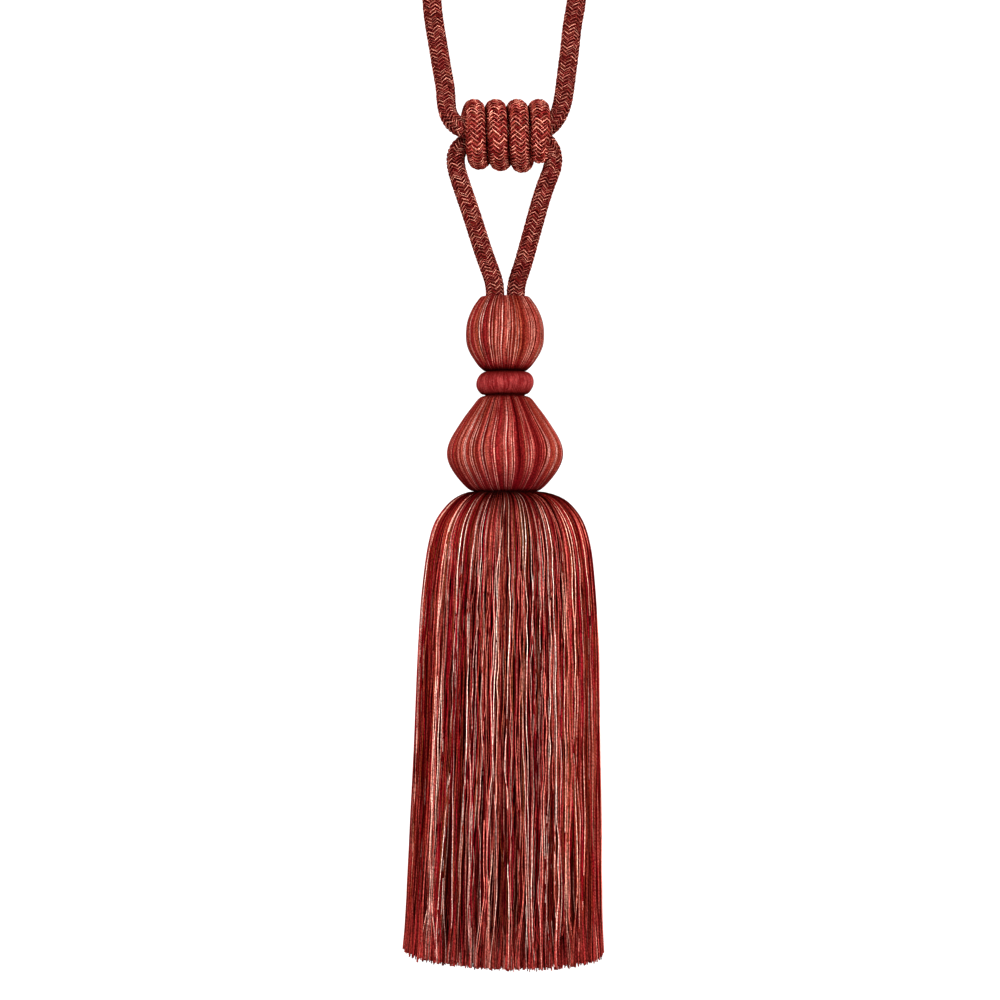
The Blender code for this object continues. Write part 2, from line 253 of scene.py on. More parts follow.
# Thickness at the top, swelling at the cut, and how much yarns differ in thickness and twist
TOP_THICKNESS = 0.62
TOP_THICKNESS_DEPTH = 16 * MM
CUT_SWELLING = 0.30
CUT_SWELLING_RANGE = (0.93, 1.0)
THICKNESSES = (0.78, 1.15)
TWIST_STRETCHES = (0.7, 1.4)
# Layers that hang from the top: name, yarns, sections, inset, shade and draw of the locks. The shade is
# painted: light above 1 on the outer layer, shade on the deeper ones
SKIRT_LAYERS = (
    ("skirt_outer", 340, 88, 0.35 * MM, 1.68, 0.38),
    ("skirt_second", 330, 60, 0.9 * MM, 0.95, 0.30),
    ("skirt_third", 300, 34, 1.6 * MM, 0.50, 0.08),
)
# Short cut ends inside the hem, in rounds from the first inset to the last
HEART_START = 185 * MM
HEART_INSETS = (2.6 * MM, 46 * MM)
HEART_ROUND_STEP = 1.25 * MM
HEART_YARN_STEP = 1.3 * MM
HEART_YARN = 1.15 * MM
# Painted light: the heart's dyes are scaled up
HEART_PAINTED_LIGHT = 1.3
HEM_RADIUS = 47.6 * MM
# The packed yarns behind the layers, dark with painted shade
PACKED_YARNS = 150
PACKED_RINGS = 20
PACKED_INSET = 2.6 * MM
PACKED_TOP = -0.25 * MM
PACKED_LENGTH = 195 * MM
PACKED_RIDGE = 0.45 * MM
# Dyes of the skirt: the darker ones and how often each is drawn, then the light ones as round a mould
SKIRT_GROUND = ((CARMINE, 0.32), (ROSE, 0.26), (BRICK, 0.18), (WINE, 0.17), (BRONZE, 0.07))
SKIRT_LIGHTS = ((SALMON, 1, 1), (PEACH, 2, 1), (PALE, 4, 1))
# Painted light: the light yarns' dyes are raised by this gain, to above 1
SKIRT_LIGHT_GAIN = (1.4, 1.65, 1.65)
SKIRT_GROUND_TONES = (0.42, 1.15)
SKIRT_CLUSTERS = ((2, 6), (2, 6), (2, 2, 3))
# Painted shade towards left and right: where it begins and is full, light yarns left out, and depth of the
# dyes
SIDE_SHADE_RANGE = (0.60, 0.90)
SIDE_LEFT_OUT = 0.5
SIDE_SHADE_DEPTH = 0.2
FRAYED_SHARE = 0.62
FRAYED_RANGE = (0.86, 1.0)
# Painted shade under the onion, by the radius where a yarn comes out: how far that varies, and where it
# ends
TUCKED_SHIFT = (-3 * MM, 9 * MM)
TUCKED_RED_RADII = (17 * MM, 30 * MM)
TUCKED_RED_SHARE = 0.85
TUCKED_DARK_RADII = (14 * MM, 28 * MM)
TUCKED_SHADE = 0.10
# Painted shade on the skirt's dome, and deep inside the heart up to its cut ends
DOME_SHADE = 0.75
DOME_DEPTHS = (4 * MM, 22 * MM)
INSIDE_SHADE = 0.12
INSIDE_RANGE = (0.94, 1.0)
# Grooves between yarns: darkest share, gain of the lit side, its power and how far that side turns
GROOVE_DARKEST = 0.08
GROOVE_GAIN = 1.12
GROOVE_POWER = 1.5
GROOVE_TURN = 1.1

# The rope's route, as in the frame, in millimetres
ROPE_ROUTE_MM = (
    # left end in the ball's socket, and the lower left leg
    (-4.7, 0.0, -178.5),
    (-4.7, 0.0, -174.0),
    (-5.3, 0.0, -168.2),
    (-7.3, 0.0, -162.0),
    (-10.2, 0.0, -153.9),
    (-15.7, 0.0, -136.8),
    (-21.2, 0.6, -120.5),
    (-23.2, 1.6, -113.0),
    (-23.2, 2.8, -107.5),
    (-20.7, 4.0, -103.0),
    (-15.5, 4.6, -100.4),
    # back strand through the knot
    (-7.0, 4.8, -99.1),
    (1.0, 4.8, -98.5),
    (9.0, 4.8, -97.6),
    (16.0, 4.5, -96.4),
    (21.2, 4.0, -93.5),
    (25.1, 3.0, -88.8),
    # upper right leg
    (27.2, 2.0, -83.2),
    (28.3, 1.0, -77.0),
    (29.3, 0.4, -69.0),
    (30.8, 0.0, -57.0),
    (32.1, 0.0, -45.6),
    (33.9, 0.0, -34.5),
    # loop over the hook
    (32.2, 0.0, -18.1),
    (24.1, 0.0, -5.4),
    (12.9, 0.0, 2.1),
    (-0.4, 0.0, 4.75),
    (-13.7, 0.0, 2.1),
    (-24.9, 0.0, -5.4),
    (-33.0, 0.0, -18.1),
    (-34.7, 0.0, -34.5),
    # upper left leg
    (-33.5, 0.0, -45.6),
    (-31.6, 0.0, -57.0),
    (-29.6, -0.4, -69.0),
    (-28.3, -1.0, -77.0),
    (-27.8, -2.0, -84.0),
    (-26.3, -3.4, -90.0),
    (-22.0, -4.5, -94.9),
    (-15.5, -4.8, -96.9),
    # front strand through the knot
    (-7.0, -4.8, -97.8),
    (1.0, -4.8, -98.4),
    (9.0, -4.8, -99.0),
    (15.0, -4.2, -99.8),
    (19.8, -2.2, -102.6),
    (22.5, -0.4, -107.2),
    # lower right leg, and the right end in the socket
    (22.7, 0.0, -112.5),
    (20.3, 0.0, -119.8),
    (14.9, 0.0, -136.8),
    (10.2, 0.0, -153.9),
    (7.8, 0.0, -162.0),
    (5.8, 0.0, -168.2),
    (5.1, 0.0, -174.0),
    (5.1, 0.0, -178.5),
)

# Mould outlines: depth below the node's top and radius, in millimetres. The ball's carry two radii,
# across X and across Y, because its top closes round the two rope ends.
BALL_RINGS_MM = (
    (5.0, 10.5, 6.4),
    (2.6, 10.4, 6.3),
    (1.0, 10.4, 6.6),
    (0.3, 10.8, 7.6),
    (0.9, 11.9, 9.4),
    (2.4, 13.1, 11.6),
    (4.7, 14.7, 14.3),
    (8.2, 16.5, 16.5),
    (13.0, 18.1, 18.1),
    (18.0, 18.6, 18.6),
    (23.0, 18.2, 18.2),
    (27.0, 16.7, 16.7),
    (30.6, 14.5, 14.5),
    (33.4, 12.4, 12.4),
    (35.5, 10.0, 10.0),
)
ONION_PROFILE_MM = (
    (0.1, 9.6),
    (0.9, 11.9),
    (3.9, 14.6),
    (9.6, 18.9),
    (15.3, 22.7),
    (21.0, 26.0),
    (24.8, 27.3),
    (27.6, 27.6),
    (30.5, 27.2),
    (34.3, 25.6),
    (38.1, 23.1),
    (41.9, 19.9),
    (44.2, 17.4),
    (45.2, 15.4),
    (45.3, 13.6),
)
COLLAR_PROFILE_MM = (
    (0.1, 9.4),
    (0.8, 11.2),
    (2.3, 12.7),
    (4.6, 13.6),
    (6.9, 13.5),
    (9.2, 12.3),
    (10.5, 11.0),
    (11.1, 9.4),
    (12.3, 8.8),
)

# Skirt: depth below its top, outer radius and sway of its middle to +X, in millimetres
SKIRT_PROFILE_MM = (
    (-0.3, 12.0, 0.2),
    (-0.1, 15.6, 0.3),
    (0.9, 20.6, 1.0),
    (2.5, 24.6, 1.6),
    (4.7, 28.0, 1.9),
    (8.1, 31.3, 2.0),
    (12.5, 34.4, 2.0),
    (18.0, 36.8, 2.0),
    (24.0, 38.3, 2.0),
    (38.0, 40.2, 1.9),
    (61.0, 42.1, 1.7),
    (104.0, 43.6, 1.2),
    (147.0, 44.9, 0.5),
    (190.0, 46.2, -0.4),
    (219.0, 47.6, -0.9),
    (224.0, 48.0, -1.0),
)


def distances(points):
    """How far along a polyline each of its points lies."""
    return np.concatenate([[0.0], np.cumsum(np.linalg.norm(np.diff(points, axis=0), axis=1))])


def smooth_line(points, count):
    """Points on a natural cubic spline through others, even in the distance along their chords."""
    points = np.array(points, float)
    knots = distances(points)
    h = np.diff(knots)
    system = np.eye(len(points))
    right = np.zeros_like(points)
    for i in range(1, len(points) - 1):
        system[i, i - 1 : i + 2] = (h[i - 1], 2 * (h[i - 1] + h[i]), h[i])
        right[i] = 6 * ((points[i + 1] - points[i]) / h[i] - (points[i] - points[i - 1]) / h[i - 1])
    bends = np.linalg.solve(system, right)
    position = np.linspace(knots[0], knots[-1], count)
    i = np.clip(np.searchsorted(knots, position) - 1, 0, len(points) - 2)
    width = h[i][:, None]
    before = knots[i + 1][:, None] - position[:, None]
    after = position[:, None] - knots[i][:, None]
    return (
        bends[i] * before**3 / (6 * width)
        + bends[i + 1] * after**3 / (6 * width)
        + (points[i] / width - bends[i] * width / 6) * before
        + (points[i + 1] / width - bends[i + 1] * width / 6) * after
    )


def even_points(points, positions):
    """Points of a polyline at distances along it, in any number of dimensions."""
    along = distances(points)
    return np.stack([np.interp(positions, along, column) for column in points.T], axis=1)


def even_steps(points, step):
    """Resamples a fine polyline at even distances. Returns the positions and points."""
    length = distances(points)[-1]
    positions = np.linspace(0.0, length, int(round(length / step)) + 1)
    return positions, even_points(points, positions)


def unit(vectors):
    return vectors / np.linalg.norm(vectors, axis=-1, keepdims=True)


def square_to(vectors, run):
    """Unit vectors with what runs along another direction taken out."""
    return unit(vectors - run * (vectors * run).sum(axis=-1, keepdims=True))


def carried_sides(points, first_side):
    """Two directions across a path that turn no more than they must."""
    along = unit(np.gradient(points, axis=0))
    side = np.zeros_like(points)
    current = np.array(first_side, float)
    for i, direction in enumerate(along):
        current = current - direction * current.dot(direction)
        current = current / np.linalg.norm(current)
        side[i] = current
    return side, np.cross(along, side)


def slow_noise(rng, count, length, knots):
    """Smooth random values in -1 to 1: count rows, length columns, about knots bends in each row."""
    rough = rng.uniform(-1, 1, (count, knots + 3))
    at = np.linspace(1, knots + 1, length)
    low = np.floor(at).astype(int)
    part = at - low
    smooth = part * part * (3 - 2 * part)
    return rough[:, low] * (1 - smooth) + rough[:, np.minimum(low + 1, knots + 2)] * smooth


def smoothstep(value, low, high):
    share = np.clip((value - low) / (high - low), 0, 1)
    return share * share * (3 - 2 * share)


class Builder:
    """Collects grids of quads, with a colour and UV at each point, into one mesh."""

    def __init__(self):
        self.points = []
        self.faces = []
        self.dyes = []
        self.uvs = []
        self.count = 0

    def strips(self, points, dyes, u, v):
        """Closed tubes: points is tubes x sections x sides x 3. u runs round, v along."""
        tubes, sections, sides, _ = points.shape
        index = self.count + np.arange(tubes * sections * sides).reshape(tubes, sections, sides)
        nxt = np.roll(index, -1, axis=2)
        quads = np.stack([index[:, :-1], nxt[:, :-1], nxt[:, 1:], index[:, 1:]], axis=-1)
        self.faces.append(quads.reshape(-1, 4))
        self.caps(index[:, 0, ::-1])
        self.caps(index[:, -1])
        self.points.append(points.reshape(-1, 3))
        self.dyes.append(np.broadcast_to(dyes, points.shape).reshape(-1, 3))
        uv = np.stack(np.broadcast_arrays(u, v), axis=-1)
        self.uvs.append(np.broadcast_to(uv, points.shape[:3] + (2,)).reshape(-1, 2))
        self.count += tubes * sections * sides

    def caps(self, rims):
        """Fans of quads across each end. Where the last corner comes twice, it is a triangle."""
        sides = rims.shape[1]
        for k in range(1, sides - 1, 2):
            last = rims[:, min(k + 2, sides - 1)]
            self.faces.append(np.stack([rims[:, 0], rims[:, k], rims[:, k + 1], last], axis=-1))

    def build(self, name, material):
        faces = np.concatenate(self.faces)
        triangle = faces[:, 2] == faces[:, 3]
        corners = np.concatenate([faces[~triangle].ravel(), faces[triangle][:, :3].ravel()])
        sizes = np.concatenate([np.full((~triangle).sum(), 4), np.full(triangle.sum(), 3)])
        starts = np.concatenate([[0], np.cumsum(sizes)[:-1]])
        mesh = bpy.data.meshes.new(name)
        mesh.vertices.add(self.count)
        mesh.vertices.foreach_set("co", np.concatenate(self.points).ravel())
        mesh.loops.add(len(corners))
        mesh.loops.foreach_set("vertex_index", corners)
        mesh.polygons.add(len(sizes))
        mesh.polygons.foreach_set("loop_start", starts)
        mesh.update(calc_edges=True)
        mesh.shade_smooth()
        dye = mesh.color_attributes.new("dye", "FLOAT_COLOR", "POINT")
        colour = np.ones((self.count, 4))
        colour[:, :3] = np.concatenate(self.dyes)
        dye.data.foreach_set("color", colour.ravel())
        layer = mesh.uv_layers.new(name="yarn")
        layer.data.foreach_set("uv", np.concatenate(self.uvs)[corners].ravel())
        mesh.validate()
        piece = bpy.data.objects.new(name, mesh)
        bpy.context.scene.collection.objects.link(piece)
        mesh.materials.append(material)
        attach(piece, "root")
        return piece


def math_node(tree, operation, first, second=None):
    """A math node fed by one socket, and by a second socket or a number."""
    node = tree.nodes.new("ShaderNodeMath")
    node.operation = operation
    tree.links.new(first, node.inputs[0])
    if isinstance(second, float):
        node.inputs[1].default_value = second
    elif second is not None:
        tree.links.new(second, node.inputs[1])
    return node.outputs["Value"]


def map_range(tree, value, source, target):
    node = tree.nodes.new("ShaderNodeMapRange")
    node.inputs["From Min"].default_value = source[0]
    node.inputs["From Max"].default_value = source[1]
    node.inputs["To Min"].default_value = target[0]
    node.inputs["To Max"].default_value = target[1]
    tree.links.new(value, node.inputs["Value"])
    return node.outputs["Result"]


def scaled(tree, colour, factor):
    node = tree.nodes.new("ShaderNodeVectorMath")
    node.operation = "SCALE"
    tree.links.new(colour, node.inputs[0])
    tree.links.new(factor, node.inputs["Scale"])
    return node.outputs["Vector"]


def yarn_material(name, roughness, gloss, twist_pitch, twist_depth, twist_shade, fleck_scale, fleck):
    """Dyed yarn: the dye attribute, which also holds painted shade and light, flecked along the fibres,
    with the twist's shade and fine bump.
    """
    material = bpy.data.materials.new(name)
    material.use_nodes = True
    tree = material.node_tree
    nodes, links = tree.nodes, tree.links
    shader = nodes["Principled BSDF"]
    shader.inputs["Roughness"].default_value = roughness
    shader.inputs["Sheen Weight"].default_value = SHEEN
    shader.inputs["Sheen Roughness"].default_value = SHEEN_ROUGHNESS
    shader.inputs["Sheen Tint"].default_value = SHEEN_TINT
    shader.inputs["Specular IOR Level"].default_value = gloss
    shader.inputs["Specular Tint"].default_value = GLOSS_TINT

    dye = nodes.new("ShaderNodeAttribute")
    dye.attribute_name = "dye"
    coords = nodes.new("ShaderNodeTexCoord")
    fibre = nodes.new("ShaderNodeTexNoise")
    fibre.inputs["Scale"].default_value = fleck_scale
    fibre.inputs["Detail"].default_value = 1.0
    links.new(coords.outputs["Object"], fibre.inputs["Vector"])
    flecks = map_range(tree, fibre.outputs["Fac"], FLECK_NOISE, (1 - fleck, 1 + fleck))
    flecked = scaled(tree, dye.outputs["Color"], flecks)

    # The twist runs round the yarn once for each pitch along it
    around = nodes.new("ShaderNodeSeparateXYZ")
    links.new(coords.outputs["UV"], around.inputs["Vector"])
    along = math_node(tree, "DIVIDE", around.outputs["Y"], twist_pitch)
    phase = math_node(tree, "ADD", around.outputs["X"], along)
    wave = math_node(tree, "SINE", math_node(tree, "MULTIPLY", phase, 2 * math.pi))
    plies = map_range(tree, wave, PLY_WAVE, (1 - twist_shade, 1 + PLY_LIGHT * twist_shade))
    links.new(scaled(tree, flecked, plies), shader.inputs["Base Color"])
    bump = nodes.new("ShaderNodeBump")
    bump.inputs["Strength"].default_value = BUMP_STRENGTH
    bump.inputs["Distance"].default_value = twist_depth
    links.new(wave, bump.inputs["Height"])
    links.new(bump.outputs["Normal"], shader.inputs["Normal"])
    return material


def shaded(dyes, share):
    """Dyes at a share of their light. Yarn in shade looks redder, because its light has met more fibre."""
    return dyes * np.asarray(share)[..., None] ** np.array(SHADE_POWERS)


def mixed_dye(first, second, share):
    share = np.asarray(share)[..., None]
    return np.array(first) * (1 - share) + np.array(second) * share


def braid(builder, rng, points, side, up, half_width, half_depth, scale, shade, side_shade=1.0):
    """A two-over-two tubular braid along a path.

    side and up are the directions across the path that its half width and half depth lie along, and
    scale shrinks each section. Ten carriers wind each way. Each is a flat bundle of three yarns.
    shade scales the dyes: painted shade on the rope and painted light on the knot. side_shade paints shade
    on what faces sideways, where a coil's turns touch.
    """
    along = distances(points)
    across = np.array(CARRIER_ACROSS_MM) * MM
    out = np.array(CARRIER_OUT) * CARRIER_DEPTH
    inset = CARRIER_DEPTH + BRAID_LIFT
    for sign in (1, -1):
        first = np.arange(BRAID_CARRIERS)[:, None] + (0.5 if sign < 0 else 0.0)
        angle = 2 * math.pi * (first / BRAID_CARRIERS + sign * along[None] / BRAID_PITCH)
        # A carrier passes over two of the other way's and under the next two
        column = angle * BRAID_CARRIERS / math.pi
        wave = np.cos(2 * math.pi * (column - 0.5) / 4)
        lift = sign * np.clip(BRAID_FLATNESS * wave, -1, 1) * BRAID_LIFT
        wide = (half_width - inset) * scale[None] + lift
        deep = (half_depth - inset) * scale[None] + lift
        centre = (
            points[None]
            + side[None] * (wide * np.cos(angle))[..., None]
            + up[None] * (deep * np.sin(angle))[..., None]
        )
        away = unit(
            side[None] * (np.cos(angle) / half_width)[..., None]
            + up[None] * (np.sin(angle) / half_depth)[..., None]
        )
        run = unit(np.gradient(centre, axis=1))
        away = square_to(away, run)
        sideways = np.cross(away, run)
        tubes = (
            centre[:, :, None]
            + sideways[:, :, None] * (across[None, None, :, None] * scale[None, :, None, None])
            + away[:, :, None] * out[None, None, :, None]
        )
        # Dyes scaled by shade, which paints shade on the rope and light on the knot; more painted shade
        # where the coil's turns touch
        dyes = carrier_dyes(rng, len(points), len(across)) * shade
        touch_shade_share = smoothstep(np.abs(np.cos(angle)), KNOT_SIDE_FROM, 1.0)
        dyes = shaded(dyes, (1 - (1 - side_shade) * touch_shade_share)[..., None])
        u = np.linspace(0, CARRIER_PLIES, len(across)) + rng.uniform(0, 1, (BRAID_CARRIERS, 1, 1))
        length = np.broadcast_to(along[None, :, None] * CARRIER_STRETCH, tubes.shape[:3])
        if sign < 0:
            tubes, dyes, u = tubes[:, :, ::-1], dyes[:, :, ::-1], u[:, :, ::-1]
        builder.strips(tubes[:, :, ::-1], dyes[:, :, ::-1], u[:, :, ::-1], length)
    core(builder, points, side, up, half_width, half_depth, scale)


def carrier_dyes(rng, sections, corners):
    """Colours of one way's carriers: a light yarn beside a red and a brick one, with painted shade between
    them.
    """
    dyes = np.zeros((BRAID_CARRIERS, sections, corners, 3))
    dyes[:] = np.array(PAINTED_SHADE_DARK)
    order = np.array(CARRIER_ORDERS)[rng.integers(0, len(CARRIER_ORDERS), BRAID_CARRIERS)]
    tone = 1 + 0.28 * slow_noise(rng, BRAID_CARRIERS, sections, max(2, sections // 14))
    for crest, corner in enumerate(CARRIER_CRESTS):
        light = slow_noise(rng, BRAID_CARRIERS, sections, max(3, sections // 4))
        for kind, (dark, bright, mean, swing) in enumerate(CARRIER_YARNS):
            dye = mixed_dye(dark, bright, np.clip(mean + swing * light, 0, 1))
            here = order[:, crest] == kind
            dyes[here, :, corner] = (dye * tone[..., None])[here]
    return dyes


def core(builder, points, side, up, half_width, half_depth, scale):
    """The filling that shows in the gaps of the braid, near black with painted shade."""
    keep = np.unique(np.concatenate([np.arange(0, len(points), CORE_EVERY), [len(points) - 1]]))
    turn = np.linspace(0, 2 * math.pi, CORE_SIDES, endpoint=False)
    share = CORE_SHARE * scale[keep][:, None]
    ring = (
        points[keep][:, None]
        + side[keep][:, None] * (half_width * share * np.cos(turn))[..., None]
        + up[keep][:, None] * (half_depth * share * np.sin(turn))[..., None]
    )
    u = turn[None, None] / (2 * math.pi)
    builder.strips(ring[None], np.array(PAINTED_SHADE_DARK), u, np.zeros((1, len(keep), 1)))


def rope_line():
    """The rope's centreline: even points, as the frame's rope is swept."""
    return even_steps(smooth_line(np.array(ROPE_ROUTE_MM) * MM, 6000), BRAID_STEP)[1]


def make_rope(material):
    points = rope_line()
    side, up = carried_sides(points, (1.0, 0.0, 0.0))
    begins = KNOT_CENTRE_Z + ROPE_PULL_BEGINS
    full = KNOT_CENTRE_Z + ROPE_PULL_FULL
    scale = 1 - (1 - ROPE_PULL) * smoothstep(points[:, 2], begins, full)
    half = ROPE_DIAMETER / 2 + ROPE_PROUD
    builder = Builder()
    braid(builder, np.random.default_rng(SEED), points, side, up, half, half, scale, ROPE_PAINTED_SHADE)
    rope = builder.build("braided_rope", material)
    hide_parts("rope")
    return rope, points


def knot_tuck(degrees):
    """How far the coil's end is tucked in: 0 until its last stretch, and 1 at its end."""
    return smoothstep(degrees, KNOT_END_DEG - KNOT_TUCK_DEG, KNOT_END_DEG)


def knot_line(degrees):
    """The coil's centreline, as in the frame. 0 degrees is the top of the first turn, 90 its front."""
    turn = np.radians(degrees)
    bottoms = np.array(KNOT_BOTTOM_REACHES)[np.clip(degrees // 360, 0, 3).astype(int)]
    reach = np.where(np.cos(turn) > 0, KNOT_TOP_REACH, bottoms)
    x = KNOT_FIRST_TURN_X + KNOT_PITCH * degrees / 360 - KNOT_LEAN * (1 - np.cos(turn))
    x = x - KNOT_TUCK_SHIFT * knot_tuck(degrees)
    z = KNOT_CENTRE_Z + reach * np.cos(turn)
    return np.stack([x, -KNOT_HALF_DEPTH * np.sin(turn), z], axis=1)


def make_knot(material):
    first = KNOT_START_DEG - KNOT_EXTRA_START_DEG
    degrees = np.arange(first, KNOT_END_DEG + KNOT_EXTRA_END_DEG, KNOT_STEP_DEG)
    line = knot_line(degrees)
    positions, points = even_steps(line, BRAID_STEP)
    tuck = knot_tuck(np.interp(positions, distances(line), degrees))
    path = unit(np.gradient(points, axis=0))
    outward = square_to(points * [0, 1, 1] - [0, 0, KNOT_CENTRE_Z], path)
    across = np.cross(path, outward)
    from_end = np.minimum(positions, positions[-1] - positions)
    scale = 1 - (1 - KNOT_TUCK_SCALE) * tuck
    scale = scale * np.sqrt(smoothstep(from_end, *KNOT_END_ROUNDING))
    builder = Builder()
    braid(
        builder,
        np.random.default_rng(SEED + 1),
        points,
        across,
        outward,
        KNOT_HALF_WIDTH,
        KNOT_HALF_THICKNESS,
        scale,
        KNOT_PAINTED_LIGHT,
        KNOT_SIDE_SHADE,
    )
    knot = builder.build("knot_coil", material)
    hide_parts("slide_knot")
    return knot


def wound_solid(builder, rng, rows, yarns, rings, dye_of, top_z, wander, tilt=0.0):
    """A turned shape under yarns laid from pole to pole. rows are depth, half width, half depth."""
    fine = smooth_line(np.array(rows) * MM, 2000)
    along = np.linspace(0, distances(fine)[-1], rings)
    outline = even_points(fine, along)
    depth, wide, deep = outline.T
    columns = yarns * YARN_COLUMNS
    yarn = np.repeat(np.arange(yarns), YARN_COLUMNS)
    corner = np.tile(np.arange(YARN_COLUMNS), yarns)
    # Yarns differ in width: their edges are shifted, and their crests stay between them
    edge = np.arange(yarns) + rng.uniform(-YARN_SHIFT, YARN_SHIFT, yarns)
    following = np.append(edge[1:], edge[0] + yarns)
    place = edge[yarn] + (following[yarn] - edge[yarn]) * corner / YARN_COLUMNS
    # They wander together, in slow waves round the mould and a drift that is widest halfway down
    drift = slow_noise(rng, 1, columns, yarns // 14)[0]
    sway = slow_noise(rng, 6, rings, 4)
    waves = np.stack([np.cos(k * 2 * math.pi * np.arange(columns) / columns) for k in range(1, 7)])
    middle = np.sin(np.pi * np.linspace(0, 1, rings))[:, None]
    bend = (sway.T @ waves) * wander + drift[None] * wander * middle
    angle = 2 * math.pi * (place[None] + bend) / yarns
    crest = np.array(YARN_CREST)[corner]
    proud = rng.uniform(-0.5, 0.5, yarns)[yarn] + 0.5 * slow_noise(rng, 1, columns, yarns // 5)[0]
    width = (2 * math.pi * (wide + deep) / 2 / yarns)[:, None]
    height = (crest[None] * YARN_HEIGHT + proud[None] * YARN_PROUD) * width
    slope = np.gradient(outline[:, 1:].mean(axis=1), along)
    fall = np.gradient(depth, along)
    steep = np.hypot(slope, fall)
    outwards = height * (fall / steep)[:, None] - width * YARN_HEIGHT
    x = (wide[:, None] + outwards) * np.cos(angle)
    y = (deep[:, None] + outwards) * np.sin(angle)
    z = top_z - (depth[:, None] + height * (-slope / steep)[:, None])
    if tilt:
        share = np.clip((wide - wide.min()) / (wide.max() - wide.min()), 0, 1)[:, None]
        z = z + x * math.tan(tilt) * share
    dyes = dye_of(rng, yarns, rings)[:, yarn]
    dyes = shaded(dyes, (GROOVE_SHADE + (1 - GROOVE_SHADE) * crest)[None])
    u = corner / YARN_COLUMNS + rng.uniform(0, 1, yarns)[yarn]
    builder.strips(np.stack([x, y, z], axis=-1)[None], dyes[None], u[None, None], along[None, :, None])


def streaks(rng, yarns, kinds):
    """Yarn colours, side by side in runs of one kind. kinds are dye, share of the runs, longest run."""
    dyes = np.zeros((yarns, 3))
    share = np.array([kind[1] for kind in kinds], float)
    at = 0
    while at < yarns:
        dye, _, longest = kinds[rng.choice(len(kinds), p=share / share.sum())]
        run = int(rng.integers(1, longest + 1))
        dyes[at : at + run] = dye
        at += run
    return dyes * rng.uniform(*RUN_TONES, (yarns, 1))


def risen(value, begin, end, least):
    """A share that rises from its least to 1 while the value goes from begin to end."""
    return least + (1 - least) * smoothstep(value, begin, end)


def painted_end_shade(rings, top, bottom):
    """Painted shade down a mould's length: dark where its yarns tuck in at both ends."""
    down = np.linspace(0, 1, rings)
    return risen(down, 0.0, top, TUCK_TOP_SHADE) * risen(1 - down, 0.0, bottom, TUCK_BOTTOM_SHADE)


def light_clusters(rng, yarns, rest, run, steps):
    """Where the light yarns lie, in clusters. 0 is none and 1 the lightest.

    rest is the range of yarns between clusters, run the range of light yarns in one, and steps the yarns
    from one of them to the next.
    """
    lit = np.zeros(yarns)
    at = 0
    while at < yarns:
        at += int(rng.integers(*rest))
        strength = rng.uniform(*CLUSTER_STRENGTHS)
        for _ in range(int(rng.integers(*run))):
            if at < yarns:
                lit[at] = strength * rng.uniform(*LIGHT_STRENGTHS)
            at += int(rng.choice(steps))
    return lit


def mould_dyes(rng, yarns, rings, top_tuck, bottom_tuck):
    """Thin salmon, peach and pale streaks on crimson, rose and brick ground, with painted shade: deep
    crimson at the ends, darker beside the light yarns and on the upper part.

    The tucks are the shares of the yarns' length over which they darken in painted shade towards each end.
    """
    ground = streaks(rng, yarns, MOULD_GROUND)
    veil = slow_noise(rng, 1, yarns, yarns // 16)[0]
    warm = np.clip(veil * 0.7, 0, 0.4)[:, None]
    ground = ground * (1 - warm) + np.array(BRICK) * warm
    ground = shaded(ground, rng.uniform(*MOULD_GROUND_TONES, yarns))
    lights = streaks(rng, yarns, MOULD_LIGHTS)
    lit = light_clusters(rng, yarns, *MOULD_CLUSTERS)
    # Yarns beside a light one get painted shade
    painted_shade_beside = np.maximum(np.roll(lit, 1), np.roll(lit, -1)) * (lit == 0)
    ground = shaded(ground, 1.1 - 0.4 * painted_shade_beside)
    down = np.linspace(0, 1, rings)[:, None]
    swell = np.sin(math.pi * down**1.2)
    fade = np.clip(0.5 + 0.3 * swell + 0.8 * slow_noise(rng, yarns, rings, 5).T, 0, 1)
    share = (lit[None] * fade)[..., None]
    dyes = ground[None] * (1 - share) + lights[None] * share
    dyes = shaded(dyes, 1 + MOTTLE * slow_noise(rng, yarns, rings, 14).T)
    # Painted shade: deep crimson where the yarns tuck in, darker on the upper part and towards both ends
    deep = 0.92 * (1 - smoothstep(1 - down, 0.3 * bottom_tuck, bottom_tuck))
    deep = (deep + 0.6 * (1 - smoothstep(down, 0.0, top_tuck)))[..., None]
    tucked = np.array(CARMINE) * rng.uniform(0.3, 1.1, (1, yarns, 1)) + (0.15 + 0.65 * share) * dyes
    dyes = dyes * (1 - deep) + tucked * deep
    upper = risen(down, *UPPER_RANGE, UPPER_SHADE)
    return shaded(dyes, painted_end_shade(rings, 0.08, 0.12)[:, None] * upper)


def ball_dyes(rng, yarns, rings):
    return mould_dyes(rng, yarns, rings, *BALL_TUCKS)


def onion_dyes(rng, yarns, rings):
    return mould_dyes(rng, yarns, rings, *ONION_TUCKS)


def collar_dyes(rng, yarns, rings):
    tone = 0.40 + 0.08 * slow_noise(rng, 1, yarns, yarns // 8)[0] + 0.4 * rng.uniform(-1, 1, yarns)
    tone = tone[None] + 0.5 * slow_noise(rng, yarns, rings, 12).T
    base = mixed_dye(CRIMSON, ROSE, np.clip(tone, 0, 1)) * (0.95, 0.90, 1.05)
    # Painted shade at the collar's top and bottom
    return shaded(base, 1.04 * painted_end_shade(rings, 0.45, 0.52)[:, None])


def make_ball(material):
    builder = Builder()
    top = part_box("upper_mould")[1][2]
    rng = np.random.default_rng(SEED + 2)
    wound_solid(builder, rng, BALL_RINGS_MM, BALL_YARNS, BALL_RINGS, ball_dyes, top, BALL_WANDER)
    ball = builder.build("ball_yarns", material)
    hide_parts("upper_mould")


